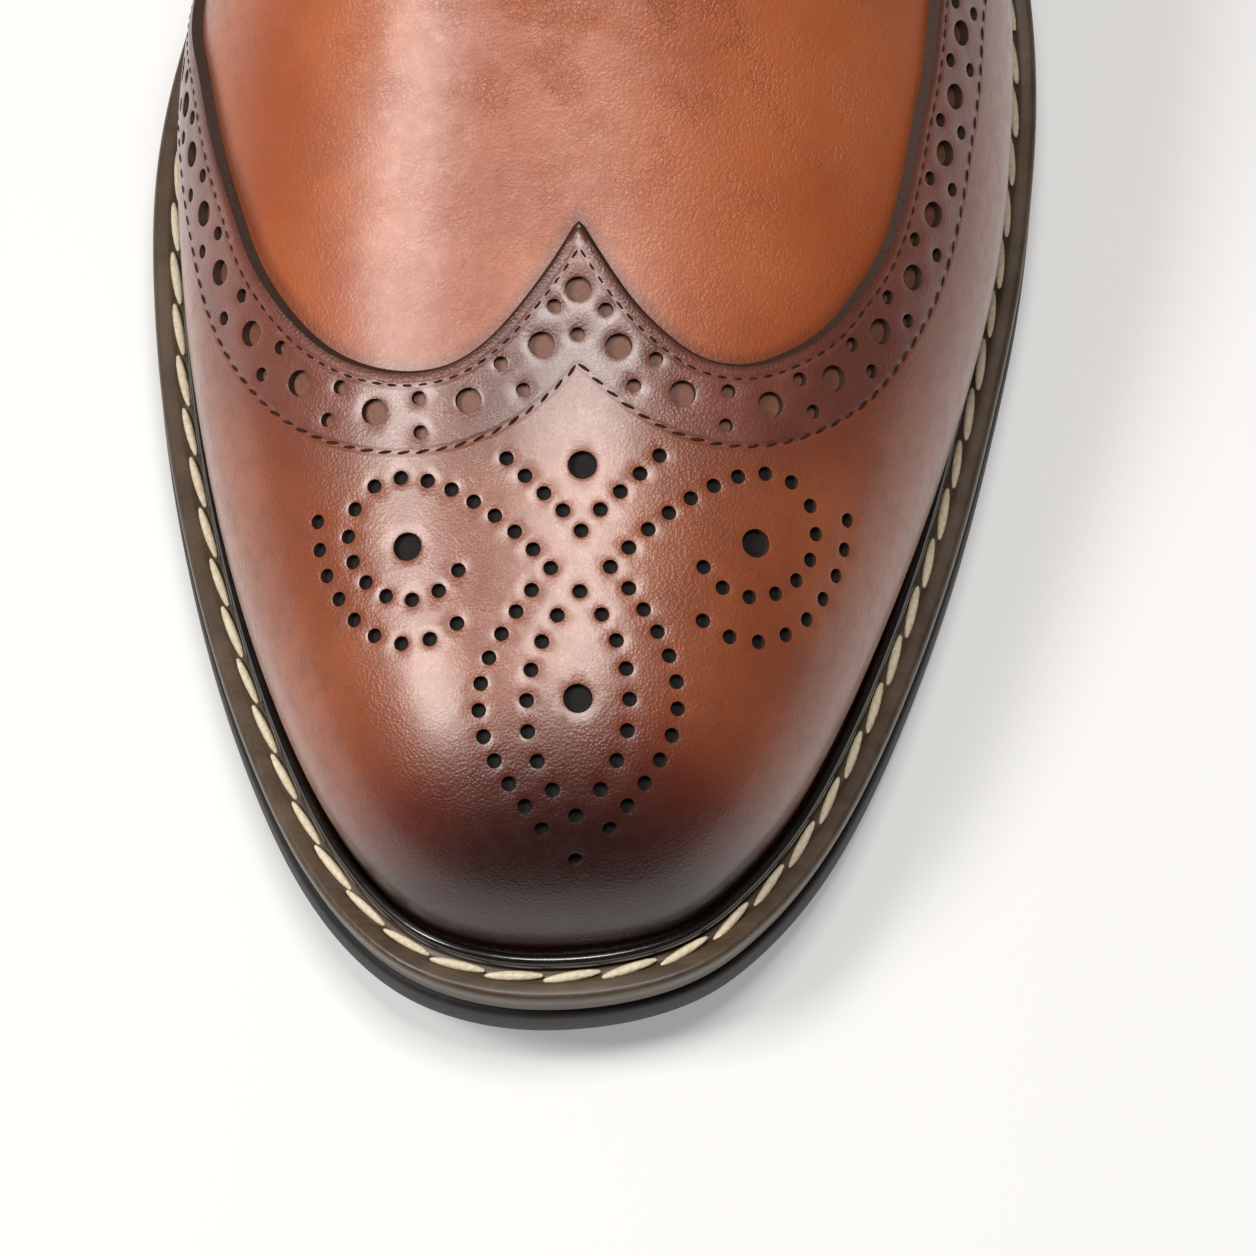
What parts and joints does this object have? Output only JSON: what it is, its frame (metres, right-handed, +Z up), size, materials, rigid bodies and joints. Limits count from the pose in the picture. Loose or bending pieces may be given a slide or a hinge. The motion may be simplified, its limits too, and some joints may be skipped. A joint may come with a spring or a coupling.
{
  "type": "wingtip oxford shoe",
  "caption": "Left wingtip oxford: last-shaped hollow leather upper with wing toe overlay, facings, heel counter, tongue and lace on a welted sole with a stacked heel.",
  "frame": {"origin": "middle of the shoe's box in plan, on the floor that its sole stands on", "axes": "+Y from toe to heel along the foot, +X to the foot's outer side, +Z up"},
  "size_m": [0.1107, 0.305, 0.1186],
  "materials": {
    "outsole": "matte",
    "midsole": "satin",
    "welt": "satin",
    "rand": "gloss",
    "heel_block": "satin",
    "heel_lift": "matte",
    "insole": "matte",
    "upper": "satin",
    "wingtip": "gloss",
    "facing": "gloss",
    "heel_counter": "gloss",
    "tongue": "satin",
    "lace": "waxed"
  },
  "bodies": {
    "root": {"outsole": "outsole", "midsole": "midsole", "welt": "welt", "rand": "rand", "heel_block": "heel_block", "heel_lift": "heel_lift", "insole": "insole", "upper": "upper", "wingtip": "wingtip", "facing_medial": "facing", "facing_lateral": "facing", "heel_counter": "heel_counter", "tongue": "tongue", "lace": "lace"}
  },
  "joints": []
}
